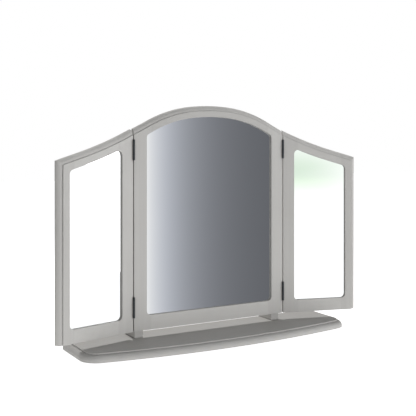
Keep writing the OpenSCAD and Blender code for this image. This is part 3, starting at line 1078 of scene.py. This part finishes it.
@dataclass(frozen=True)
class Edge:
    """An edge of the dark screen that the mirrors see, and the glow that spreads over it.

    Attributes:
        heading: Where the edge lies.
        side: The side that is bright: -1 for the left, 1 for the right.
        glow: Strength of the glow at the edge.
        fade: The degrees over which the glow falls off.
        limits: The exponents between which it is worked out.
    """

    heading: float
    side: float
    glow: float
    fade: float
    limits: tuple[float, float] = (-9.0, 3.0)

    def over(self, tree: Tree, heading: Wire) -> Wire:
        """Returns the brightness that the glow adds at a heading."""
        beyond = (heading - self.heading) * self.side
        return tree.math("EXPONENT", tree.limit(beyond / self.fade, *self.limits)) * self.glow


@dataclass(frozen=True)
class Band:
    """A soft band of directions.

    Attributes:
        start: The degrees between which it comes in.
        end: The degrees between which it goes out again.
        loss: How much of it goes out.
    """

    start: Numbers
    end: Numbers
    loss: float = 1.0

    def over(self, tree: Tree, angle: Wire) -> Wire:
        """Returns the strength of the band at an angle."""
        return tree.step(angle, *self.start) * (1.0 - tree.step(angle, *self.end) * self.loss)


@dataclass(frozen=True)
class Surroundings:
    """What the mirrors and the paint see of the studio, worked out from the direction.

    Headings are in degrees from the front, to the right. Rises are in degrees up from level.

    Attributes:
        white: Brightness of the white walls.
        shade: Brightness of the dark screen between its edges.
        edges: The soft and the sharp glow at the screen's left edge, and its right edge.
        tint: Colour of what is dim. What is bright is white.
        tint_range: The share of the brightness between which the tint goes.
        low_green: Colour of the green band at its foot.
        green: Colour of the green band.
        green_range: The rises between which the one colour turns to the other.
        green_rises: The band over the rises.
        green_headings: The band over the headings.
        green_share: Strength of the green where its pattern is at its least and at its most.
        pattern_size: Lumps of that pattern along each axis.
        behind: Brightness of what lies behind the mirror.
        behind_range: How far back a direction points where that comes in.
        bright_side: The direction that most soft light comes from.
        front_fill: Soft light from that side.
        back_fill: Soft light from the other side.
        fill_range: How squarely a direction points to the bright side where its light comes in.
        high_fill: Soft light from above.
        high_from: How far up a direction points where only that is left.
        cool_tint: Colour of the soft light.
        lost: The share of the soft light that is lost by way of a mirror.
    """

    white: float = 1.15
    shade: float = 0.12
    edges: tuple[Edge, ...] = (
        Edge(25.5, -1.0, 0.63, 2.4),
        Edge(24.85, -1.0, 0.16, 0.22),
        Edge(43.0, 1.0, 1.0, 1.2),
    )
    tint: Colour = (0.955, 0.988, 1.090)
    tint_range: Numbers = (0.35, 0.85)
    low_green: Colour = (0.830, 1.000, 0.790)
    green: Colour = (0.740, 0.880, 0.730)
    green_range: Numbers = (-3.0, -2.3)
    green_rises: Band = Band((-4.1, -2.5), (-2.0, 0.3), 0.8)
    green_headings: Band = Band((-12.0, 2.0), (4.0, 9.5))
    green_share: Numbers = (0.7, 1.2)
    pattern_size: Numbers = (9.0, 9.0, 26.0)
    behind: float = 0.25
    behind_range: Numbers = (-0.05, 0.20)
    bright_side: Numbers = (0.38, -0.925, 0.0)
    front_fill: float = 1.92
    back_fill: float = 0.04
    fill_range: Numbers = (-0.42, 0.90)
    high_fill: float = 0.20
    high_from: float = 0.46
    cool_tint: Colour = (0.992, 1.0, 1.028)
    lost: float = 0.74

    def build(self) -> None:
        """Makes the world."""
        world = bpy.data.worlds.new("studio")
        world.use_nodes = True
        bpy.context.scene.world = world
        tree = Tree(world.node_tree)
        ray = tree.node("ShaderNodeLightPath", {}, {})
        way = tree.out(tree.node("ShaderNodeTexCoord", {}, {}), "Generated")
        axes = tree.node("ShaderNodeSeparateXYZ", {}, {"Vector": way})
        x, y, z = (tree.out(axes, place) for place in range(3))
        soft = tree.share(tree.out(ray, "Is Diffuse Ray") + tree.out(ray, "Diffuse Depth"))
        mirrored = tree.share(tree.out(ray, "Glossy Depth")) * soft
        fill = tree.mix(mirrored * self.lost, self.fill(tree, way, z), BLACK)
        seen = tree.mix(soft, self.reflected(tree, way, x, y, z), fill)
        colour = tree.mix(tree.out(ray, "Is Camera Ray"), seen, WHITE)
        light = tree.node("ShaderNodeBackground", {}, {"Color": colour, "Strength": 1.0})
        tree.node("ShaderNodeOutputWorld", {}, {"Surface": tree.out(light)})

    def reflected(self, tree: Tree, way: Wire, x: Wire, y: Wire, z: Wire) -> Wire:
        """Gives what a mirror sees: white walls with a soft dark screen to the front right.

        Args:
            tree: The world's tree.
            way: The direction as a vector.
            x: The direction along X.
            y: The direction along Y.
            z: The direction along Z.

        Returns:
            The colour.
        """
        heading = tree.math("ARCTAN2", x, 0.0 - y) * DEGREES
        rise = tree.math("ARCSINE", z) * DEGREES
        grey = self.screen(tree, heading)
        green = tree.mix(tree.step(rise, *self.green_range), self.low_green, self.green)
        pattern = tree.node("ShaderNodeMapping", {}, {"Vector": way, "Scale": self.pattern_size})
        least, most = self.green_share
        strength = least + tree.noise(tree.out(pattern)) * (most - least)
        band = self.green_rises.over(tree, rise) * self.green_headings.over(tree, heading)
        front = tree.mix(band * strength, grey, green)
        return tree.mix(tree.step(y, *self.behind_range), front, (self.behind,) * 3)

    def screen(self, tree: Tree, heading: Wire) -> Wire:
        """Gives the walls and the dark screen.

        Args:
            tree: The world's tree.
            heading: The direction's heading.

        Returns:
            The colour.
        """
        glow = self.shade
        for edge in self.edges:
            glow = glow + edge.over(tree, heading)
        level = tree.share(glow / self.white)
        dim, full = (self.at(colour, self.white) for colour in (self.tint, WHITE))
        return tree.mix(level, BLACK, tree.mix(tree.step(level, *self.tint_range), dim, full))

    def fill(self, tree: Tree, way: Wire, z: Wire) -> Wire:
        """Gives the soft light on the paint: from the bright side, from its other side, from above.

        Args:
            tree: The world's tree.
            way: The direction as a vector.
            z: The direction along Z.

        Returns:
            The colour.
        """
        levels = (self.back_fill, self.front_fill, self.high_fill)
        back, front, high = (self.at(self.cool_tint, level) for level in levels)
        facing = tree.dot(way, self.bright_side)
        low = tree.mix(tree.step(facing, *self.fill_range), back, front)
        return tree.mix(tree.step(z, 0.0, self.high_from), low, high)

    @staticmethod
    def at(colour: Colour, level: float) -> Colour:
        """Returns a colour at a brightness."""
        return tuple(level * channel for channel in colour)


@dataclass
class Lamp:
    """A soft square lamp aimed at a point.

    Attributes:
        name: Its name.
        place: Where it hangs.
        aim: The point that it is aimed at.
        size: Width of the square.
        power: Its power, in watts.
        shines: Whether glossy surfaces show it.
    """

    name: str
    place: Numbers
    aim: Numbers
    size: float
    power: float
    shines: bool = True

    def build(self) -> bpy.types.Object:
        """Makes the lamp.

        Returns:
            The lamp's object.
        """
        data = bpy.data.lights.new(self.name, "AREA")
        data.shape = "SQUARE"
        data.size = self.size
        data.energy = self.power
        lamp = bpy.data.objects.new(self.name, data)
        lamp.location = self.place
        away = Vector(self.place) - Vector(self.aim)
        lamp.rotation_euler = away.to_track_quat("Z", "Y").to_euler()
        lamp.visible_camera = False
        lamp.visible_glossy = self.shines
        bpy.context.scene.collection.objects.link(lamp)
        return lamp


@dataclass(frozen=True)
class TableTop(Finish):
    """A plain white table top that glows, as painted light: most of all near the object, which it
    lights from below.

    Attributes:
        cloud_size: Smudges per metre.
        seen: Its glow towards the camera.
        near: Its glow towards the object, from near by.
        far: The same from far off.
        reaches: How far off the one turns to the other.
    """

    tone: Colour = (0.80, 0.80, 0.80)
    smudge: Colour = (0.78, 0.78, 0.78)
    cloud_size: float = 3.0
    roughness: float = 0.9
    seen: float = 0.96
    near: float = 0.60
    far: float = 0.14
    reaches: Numbers = (0.38, 1.00)

    def shader(self, tree: Tree) -> bpy.types.Node:
        """Returns the shader node of the table top.

        Args:
            tree: The material's tree.

        Returns:
            A Principled shader with a white glow.
        """
        camera = tree.out(tree.node("ShaderNodeLightPath", {}, {}), "Is Camera Ray")
        # Painted light: towards the object the top glows, most near it, and lights it from below.
        from_middle = tree.node("ShaderNodeVectorMath", {"operation": "LENGTH"}, {0: tree.place()})
        away = tree.step(tree.out(from_middle, "Value"), *self.reaches)
        glow = tree.mix(away, (self.near,) * 3, (self.far,) * 3)
        return tree.node(
            "ShaderNodeBsdfPrincipled",
            {},
            {
                "Base Color": tree.mix(tree.spots(self.cloud_size), self.tone, self.smudge),
                "Roughness": self.roughness,
                "Specular IOR Level": 0.0,
                "Emission Color": tree.mix(camera, glow, (self.seen,) * 3),
                "Emission Strength": 1.0,
            },
        )


@dataclass
class Studio:
    """The white table top, the lamps, the surroundings and the camera.

    Attributes:
        camera: The camera.
        surroundings: The world.
        lamps: The lamps.
        reach: Half the width of the table top.
        cells: Faces along one side of it.
    """

    camera: Camera = field(default_factory=Camera)
    surroundings: Surroundings = field(default_factory=Surroundings)
    lamps: tuple[Lamp, ...] = (
        Lamp("front_lamp", (4.9, -3.2, 0.50), (0.0, 0.0, 0.3), 2.6, 77.0),
        Lamp("back_lamp", (0.0, 1.1, 2.0), (0.0, 0.05, 0.0), 0.10, 27.5, shines=False),
    )
    reach: float = 9.0
    cells: int = 8

    def build(self) -> None:
        """Makes everything round the object, and sets the view transform to Standard."""
        self.camera.build()
        self.surroundings.build()
        for lamp in self.lamps:
            lamp.build()
            LOG.info("%s", lamp.name)
        top = bmesh.new()
        bmesh.ops.create_grid(top, x_segments=self.cells, y_segments=self.cells, size=self.reach)
        mesh = bpy.data.meshes.new("table_top")
        top.to_mesh(mesh)
        top.free()
        mesh.materials.append(TableTop("white_table_top").material())
        floor = bpy.data.objects.new("table_top", mesh)
        floor.visible_glossy = False
        bpy.context.scene.collection.objects.link(floor)
        bpy.context.scene.view_settings.view_transform = "Standard"


# The three panels as posed, with the wings swung forward.
PANELS = (
    # The centre panel's upper rail takes the darker copy of the paint: painted shade.
    Panel("centre", ("left_stile", "right_stile"), top_paint=SHADED_PAINT, top_crevice=0.0040),
    Panel("left_wing", ("hinge_stile", "outer_stile"), swing=13.0),
    Panel("right_wing", ("hinge_stile", "outer_stile"), swing=-16.0),
)


def main() -> None:
    """Loads the frame, dresses it and builds the studio."""
    logging.basicConfig(level=logging.INFO, format="%(name)s: %(message)s")
    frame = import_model()
    Studio().build()
    dresser = Dresser(frame["nodes"])
    Stand().dress(dresser)
    for panel in PANELS:
        panel.dress(dresser)
    Hinges().dress(dresser)
    pads = FeltPads().build(dresser)
    LOG.info("%s: %d faces", pads.name, len(pads.data.polygons))
    dresser.check()


if __name__ == "__main__":
    main()
